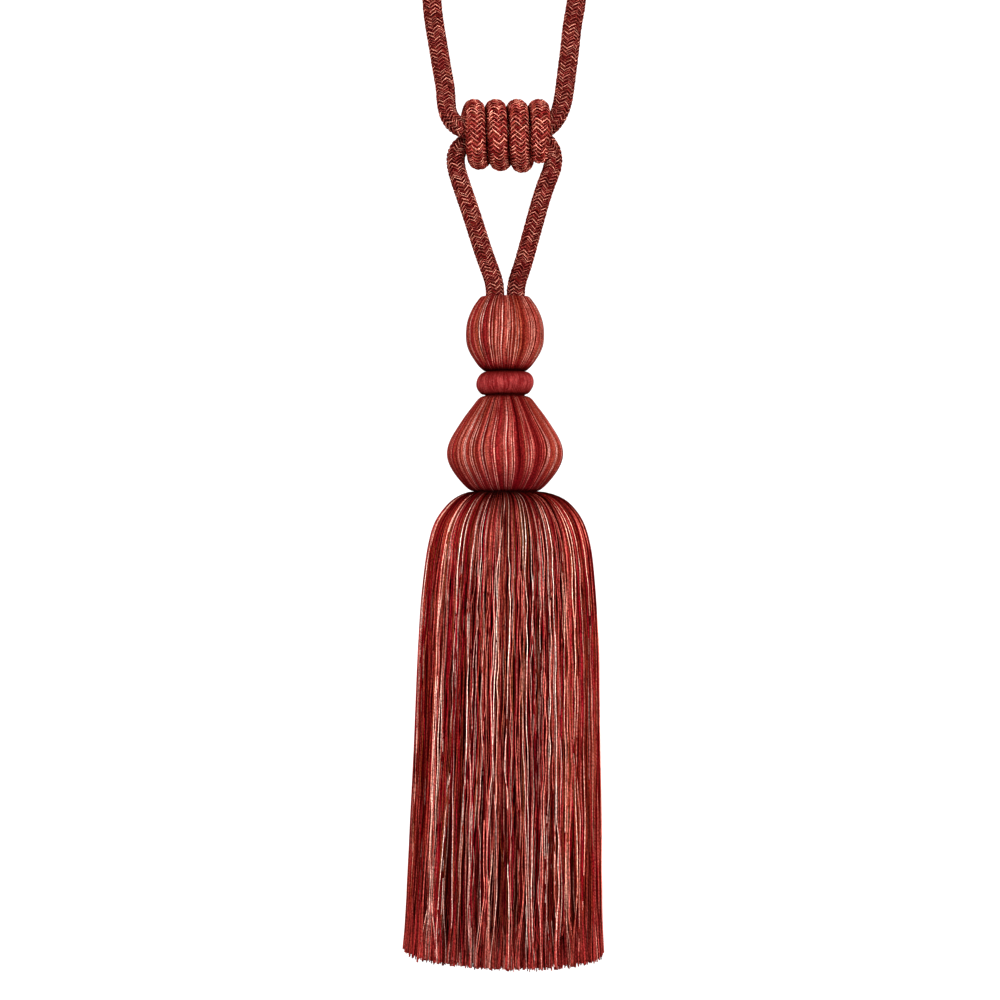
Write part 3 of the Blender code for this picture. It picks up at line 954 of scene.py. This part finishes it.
def make_onion(material):
    builder = Builder()
    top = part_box("lower_mould")[1][2]
    rows = [(depth, radius, radius) for depth, radius in ONION_PROFILE_MM]
    rng = np.random.default_rng(SEED + 3)
    wound_solid(builder, rng, rows, ONION_YARNS, ONION_RINGS, onion_dyes, top, ONION_WANDER)
    onion = builder.build("onion_yarns", material)
    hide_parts("lower_mould")


def make_collar(material):
    builder = Builder()
    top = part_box("collar")[1][2]
    rows = [(depth, radius, radius) for depth, radius in COLLAR_PROFILE_MM]
    rng = np.random.default_rng(SEED + 4)
    tilt = math.radians(COLLAR_TILT_DEG)
    wound_solid(builder, rng, rows, COLLAR_YARNS, COLLAR_RINGS, collar_dyes, top, COLLAR_WANDER, tilt)
    collar = builder.build("collar_wrap", material)
    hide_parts("collar")


def skirt_top():
    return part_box("skirt")[1][2]


def skirt_outline(depth):
    """The skirt's outer radius and sway at depths below its top."""
    fine = smooth_line(np.array(SKIRT_PROFILE_MM) * MM, 3000)
    return np.interp(depth, fine[:, 0], fine[:, 1]), np.interp(depth, fine[:, 0], fine[:, 2])


def skirt_dyes(rng, drop):
    """Mixed reds, each yarn shading from one to another down its length, and light yarns set among them.

    drop is how far down each point of each yarn lies, as a share of the skirt's length. Also returns how
    light each yarn is: the light ones are thinner.
    """
    count, sections = drop.shape
    palette = np.array([dye for dye, _ in SKIRT_GROUND])
    odds = [share for _, share in SKIRT_GROUND]
    first = palette[rng.choice(len(palette), count, p=odds)]
    second = palette[rng.choice(len(palette), count, p=odds)]
    blend = smoothstep(0.5 + 0.5 * slow_noise(rng, count, sections, 6), 0.3, 0.7)[..., None]
    dyes = first[:, None] * (1 - blend) + second[:, None] * blend
    lights = streaks(rng, count, SKIRT_LIGHTS) * SKIRT_LIGHT_GAIN
    lit = light_clusters(rng, count, *SKIRT_CLUSTERS) ** 0.6
    # Towards the left and right, light yarns are fewer and dyes deeper, a painted shade at the sides: a
    # guess from the photo's edges
    side = smoothstep(np.abs(np.cos(2 * math.pi * np.arange(count) / count)), *SIDE_SHADE_RANGE)
    lit = lit * np.where(rng.uniform(0, 1, count) < SIDE_LEFT_OUT * side, 0, 1)
    light = lit[:, None] * np.clip(0.85 + 0.7 * slow_noise(rng, count, sections, 5), 0, 1)
    dyes = dyes * (1 - light[..., None]) + lights[:, None] * light[..., None]
    shade = 1 + MOTTLE * slow_noise(rng, count, sections, sections // 3)
    dyes = shaded(dyes, shade * (rng.uniform(*SKIRT_GROUND_TONES, (count, 1)) * (1 - light) + light))
    dyes = shaded(dyes, 1 - SIDE_SHADE_DEPTH * side[:, None])
    frayed = FRAYED_SHARE * smoothstep(drop, *FRAYED_RANGE)[..., None]
    return dyes * (1 - frayed) + mixed_dye(CRIMSON, ROSE, 0.3) * frayed, light


def lay_locks(rng, angle):
    """Which lock each yarn hangs in, and how far round it is to the lock's middle."""
    middle = np.arange(LOCK_COUNT) + rng.uniform(-SPACING_JITTER, SPACING_JITTER, LOCK_COUNT)
    middle = middle * 2 * math.pi / LOCK_COUNT
    away = (angle[:, None] - middle[None] + math.pi) % (2 * math.pi) - math.pi
    lock = np.abs(away).argmin(axis=1)
    return lock, -away[np.arange(len(angle)), lock]


def stray_yarns(rng, drop, lock, hung):
    """How far yarns lie to one side, and how far outwards whole locks lie, in metres."""
    count, sections = drop.shape
    lean = rng.normal(0, LOCK_LEAN, LOCK_COUNT)[lock][:, None] * smoothstep(drop, 0.4, 1.0)
    flare = rng.normal(0, LOCK_FLARE, LOCK_COUNT)[lock][:, None] * smoothstep(drop, 0.5, 0.95)
    straying = np.where(rng.uniform(0, 1, (count, 1)) < STRAY_SHARE, STRAY_FAR, STRAY_NEAR)
    stray = straying * rng.normal(0, 1, (count, 1)) * slow_noise(rng, count, sections, 2)
    long_wave = YARN_LONG_WAVE * slow_noise(rng, count, sections, 8)
    short_wave = YARN_SHORT_WAVE * slow_noise(rng, count, sections, 24)
    lock_wave = LOCK_WAVE * slow_noise(rng, LOCK_COUNT, sections, 6)[lock]
    fan = rng.normal(0, YARN_FAN, (count, 1)) * smoothstep(drop, 0.80, 1.0) ** 1.5
    return lean + fan + (stray + long_wave + short_wave + lock_wave) * hung, flare


def yarn_tubes(centre, around, thick, turn):
    """Sections across yarns: thick is their radius, and turn the places of its corners."""
    run = unit(np.gradient(centre, axis=1))
    outward = np.stack([np.cos(around), np.sin(around), np.zeros_like(around)], axis=-1)
    outward = square_to(outward, run)
    sideways = np.cross(outward, run)
    return (
        centre[:, :, None]
        + sideways[:, :, None] * (thick[:, :, None] * np.cos(turn))[..., None]
        + outward[:, :, None] * (thick[:, :, None] * np.sin(turn))[..., None]
    )


def shaded_yarns(rng, dyes, depth, radius, turn, shade, inside):
    """Dyes at the corners of the skirt's yarns, with painted shade under the onion, on its dome, deep
    inside and in the grooves, painted light on one side of each yarn, and each layer's shade painted in.
    """
    count, sections = depth.shape
    # Painted shade under the onion: red near the neck, then darker
    tucked = radius - rng.uniform(*TUCKED_SHIFT, (count, 1))
    deep = TUCKED_RED_SHARE * (1 - smoothstep(tucked, *TUCKED_RED_RADII))[..., None]
    # The layer's shade: painted shade below 1, painted light above 1
    dyes = shaded(dyes, min(shade, 1.0)) * max(shade, 1.0)
    dyes = dyes * (1 - deep) + np.array(CARMINE) * 0.6 * deep
    dyes = shaded(dyes, risen(tucked, *TUCKED_DARK_RADII, TUCKED_SHADE))
    dyes = shaded(dyes, risen(depth, *DOME_DEPTHS, DOME_SHADE))
    if inside:
        # Packed yarns get painted shade inside the skirt and show their dye at the cut
        dyes = shaded(dyes, risen(depth / SKIRT_LENGTH, *INSIDE_RANGE, INSIDE_SHADE))
    # Painted light on one side of each yarn, and painted shade in the grooves
    lit_from = math.pi / 2 + GROOVE_TURN * slow_noise(rng, count, sections, 6)
    lit_side = 0.5 + 0.5 * np.cos(turn - lit_from[..., None])
    return shaded(dyes[:, :, None], GROOVE_DARKEST + GROOVE_GAIN * lit_side**GROOVE_POWER)


def hang_yarns(builder, rng, count, sections, inset, start, shade, gather, thickness):
    """One layer of the skirt's yarns, inset from its outline, from a start depth to the cut."""
    inside = start > 0
    unevenness = np.clip(rng.normal(0, HEM_UNEVENNESS, count), *HEM_UNEVENNESS_LIMITS)
    jitter = rng.uniform(-SPACING_JITTER, SPACING_JITTER, count)
    angle = 2 * math.pi * (np.arange(count) + jitter) / count
    lock, to_middle = lay_locks(rng, angle)
    uneven_locks = rng.normal(0, LOCK_UNEVENNESS, LOCK_COUNT)[lock]
    cut = SKIRT_LENGTH + unevenness + uneven_locks + HEM_TILT * np.cos(angle)
    share = np.linspace(0, 1, sections) ** (1.0 if inside else TOP_CROWDING)
    depth = start + (cut[:, None] - start) * share[None]
    radius, sway = skirt_outline(depth)
    drop = depth / SKIRT_LENGTH
    # Locks draw together some way above the cut ends, where they fan out again
    opened = LOCK_OPEN_SHARE * smoothstep(drop, *LOCK_OPEN_RANGE)
    draw = smoothstep(drop, *LOCK_CLOSE_RANGE) * (1 - opened) * gather
    hung = smoothstep(drop, *HUNG_RANGE)
    bend, flare = stray_yarns(rng, drop, lock, hung)
    around = angle[:, None] + draw * to_middle[:, None] + bend / radius
    rise = YARN_RISE * slow_noise(rng, count, sections, 9) * hung
    sink = rng.uniform(0, YARN_SINK, (count, 1)) * (1 - smoothstep(depth, *YARN_SINK_DEPTHS))
    dyes, light = skirt_dyes(rng, drop)
    rise = rise + LIGHT_YARN_RISE * light * hung
    distance = np.maximum(radius - inset - sink + rise + flare, LEAST_DISTANCE)
    x = sway + distance * np.cos(around)
    y = distance * np.sin(around)
    centre = np.stack([x, y, skirt_top() - depth], axis=-1)
    thick = thickness / 2 * risen(depth, 0, TOP_THICKNESS_DEPTH, TOP_THICKNESS)
    thick = thick * (1 - LIGHT_YARN_THINNING * light)
    thick = thick * (1 + CUT_SWELLING * smoothstep(drop, *CUT_SWELLING_RANGE))
    thick = thick * rng.uniform(*THICKNESSES, (count, 1))
    sides = SKIRT_YARN_SIDES
    turn = 2 * math.pi * (np.arange(sides) + 0.5) / sides - math.pi / 2
    tubes = yarn_tubes(centre, around, thick, turn)
    dyes = shaded_yarns(rng, dyes, depth, radius, turn, shade, inside)
    u = np.arange(sides) / sides + rng.uniform(0, 1, (count, 1, 1))
    v = depth[:, :, None] * rng.uniform(*TWIST_STRETCHES, (count, 1, 1))
    builder.strips(tubes, dyes, u, v)


def packed_yarns(builder, rng):
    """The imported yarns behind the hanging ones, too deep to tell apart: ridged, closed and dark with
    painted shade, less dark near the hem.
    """
    depth = PACKED_TOP + PACKED_LENGTH * np.linspace(0, 1, PACKED_RINGS) ** 1.5
    radius, sway = skirt_outline(depth)
    columns = PACKED_YARNS * YARN_COLUMNS
    corner = np.tile(np.arange(YARN_COLUMNS), PACKED_YARNS)
    angle = 2 * math.pi * np.arange(columns) / columns
    crest = np.array((0.0, 0.8, 1.0, 0.8))[corner]
    distance = (radius - PACKED_INSET)[:, None] + crest[None] * PACKED_RIDGE
    x = sway[:, None] + distance * np.cos(angle)
    y = distance * np.sin(angle)
    z = np.broadcast_to((skirt_top() - depth)[:, None], distance.shape)
    shade = rng.uniform(0.4, 1.4, PACKED_YARNS)[np.arange(columns) // YARN_COLUMNS]
    lower = smoothstep(depth, 110 * MM, 190 * MM)[:, None]
    ground = mixed_dye(np.array(PAINTED_SHADE_DARK) * 1.5, np.array(WINE) * 0.6, lower)
    dyes = ground * ((0.3 + crest) * shade)[None, :, None]
    u = (corner / YARN_COLUMNS)[None, None]
    builder.strips(np.stack([x, y, z], axis=-1)[None], dyes[None], u, depth[None, :, None])


def make_hanging_layers(material):
    """The yarns that hang from the skirt's top, in layers from the outside in."""
    pieces = []
    for number, (name, yarns, sections, inset, shade, gather) in enumerate(SKIRT_LAYERS):
        builder = Builder()
        rng = np.random.default_rng(SEED + 10 + number)
        hang_yarns(builder, rng, yarns, sections, inset, SKIRT_START, shade, gather, SKIRT_YARN)
        pieces.append(builder.build(name, material))
    return pieces


def make_heart(material):
    """Rounds of short cut ends that fill the skirt's hem."""
    builder = Builder()
    rng = np.random.default_rng(SEED + 30)
    inset, last = HEART_INSETS
    while inset < last:
        yarns = max(4, int(2 * math.pi * (HEM_RADIUS - inset) / HEART_YARN_STEP))
        hang_yarns(builder, rng, yarns, 3, inset, HEART_START, HEART_PAINTED_LIGHT, 0.0, HEART_YARN)
        inset += HEART_ROUND_STEP
    return builder.build("skirt_heart", material)


def make_packed(material):
    builder = Builder()
    packed_yarns(builder, np.random.default_rng(SEED + 31))
    return builder.build("skirt_core", material)


def make_skirt(material):
    pieces = make_hanging_layers(material)
    pieces.append(make_heart(material))
    pieces.append(make_packed(material))
    for piece in pieces:
        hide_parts("skirt")


def make_camera():
    data = bpy.data.cameras.new("photo_camera")
    data.sensor_width = SENSOR_MM
    data.lens = SENSOR_MM * CAMERA_DISTANCE_PX / PHOTO_PX
    data.clip_start = CAMERA_NEAR
    camera = bpy.data.objects.new("photo_camera", data)
    middle = PHOTO_PX / 2
    camera.location = (
        (middle - AXIS_COLUMN_PX) * PIXEL,
        -CAMERA_DISTANCE_PX * PIXEL,
        -(middle - ORIGIN_ROW_PX) * PIXEL,
    )
    camera.rotation_euler = (math.radians(90), 0, 0)
    bpy.context.scene.collection.objects.link(camera)
    bpy.context.scene.camera = camera


def make_light(name, place, size, power):
    data = bpy.data.lights.new(name, "AREA")
    data.size = size
    data.energy = power
    light = bpy.data.objects.new(name, data)
    light.visible_camera = False
    light.location = place
    aim = np.array(LIGHT_AIM) - np.array(place)
    light.rotation_euler = (
        math.atan2(math.hypot(aim[0], aim[1]), -aim[2]),
        0.0,
        math.atan2(aim[1], aim[0]) - math.pi / 2,
    )
    bpy.context.scene.collection.objects.link(light)


def make_studio():
    """A white background, a weak warm fill that lights the part in its place, five lights and a floor."""
    world = bpy.data.worlds.new("studio")
    world.use_nodes = True
    nodes, links = world.node_tree.nodes, world.node_tree.links
    backdrop = nodes["Background"]
    backdrop.inputs["Color"].default_value = (1, 1, 1, 1)
    ambient = nodes.new("ShaderNodeBackground")
    ambient.inputs["Color"].default_value = WARM_FILL + (1,)
    ambient.inputs["Strength"].default_value = AMBIENT
    seen = nodes.new("ShaderNodeLightPath")
    either = nodes.new("ShaderNodeMixShader")
    links.new(seen.outputs["Is Camera Ray"], either.inputs["Fac"])
    links.new(ambient.outputs["Background"], either.inputs[1])
    links.new(backdrop.outputs["Background"], either.inputs[2])
    links.new(either.outputs["Shader"], nodes["World Output"].inputs["Surface"])
    bpy.context.scene.world = world
    bpy.context.scene.view_settings.view_transform = "Standard"
    bpy.context.scene.view_settings.look = "Medium High Contrast"
    for name, place, size, power in LIGHTS:
        make_light(name, place, size, power)
    make_floor()


def make_floor():
    """A pale floor, far enough below to leave the photo's white background and a view from below."""
    bpy.ops.mesh.primitive_circle_add(
        vertices=64, radius=FLOOR_RADIUS, fill_type="NGON", location=(0, 0, FLOOR_Z)
    )
    floor = bpy.context.object
    floor.name = "floor"
    pale = bpy.data.materials.new("floor_pale")
    pale.use_nodes = True
    shader = pale.node_tree.nodes["Principled BSDF"]
    shader.inputs["Base Color"].default_value = FLOOR_GREY
    shader.inputs["Roughness"].default_value = 0.8
    shader.inputs["Emission Color"].default_value = (1, 1, 1, 1)
    shader.inputs["Emission Strength"].default_value = FLOOR_GLOW
    floor.data.materials.append(pale)
    # It looks pale and throws no light on the tassel
    floor.visible_diffuse = False
    floor.visible_glossy = False


def make_braid_material():
    return yarn_material(
        "braid_dyed",
        roughness=0.7,
        gloss=0.0,
        twist_pitch=1.5 * MM,
        twist_depth=0.05 * MM,
        twist_shade=0.2,
        fleck_scale=1500,
        fleck=0.40,
    )


def make_mould_material():
    return yarn_material(
        "mould_dyed",
        roughness=0.65,
        gloss=0.0,
        twist_pitch=1.3 * MM,
        twist_depth=0.03 * MM,
        twist_shade=0.2,
        fleck_scale=1400,
        fleck=0.50,
    )


def make_collar_material():
    return yarn_material(
        "collar_dyed",
        roughness=0.55,
        gloss=0.02,
        twist_pitch=1.0 * MM,
        twist_depth=0.02 * MM,
        twist_shade=0.1,
        fleck_scale=1400,
        fleck=0.32,
    )


def make_skirt_material():
    return yarn_material(
        "skirt_dyed",
        roughness=0.7,
        gloss=0.0,
        twist_pitch=2.1 * MM,
        twist_depth=0.08 * MM,
        twist_shade=0.2,
        fleck_scale=1200,
        fleck=0.45,
    )


def main():
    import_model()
    make_camera()
    make_studio()
    braid_material = make_braid_material()
    mould_material = make_mould_material()
    rope, path = make_rope(braid_material)
    knot = make_knot(braid_material)
    make_ball(mould_material)
    make_collar(make_collar_material())
    make_onion(mould_material)
    make_skirt(make_skirt_material())


main()
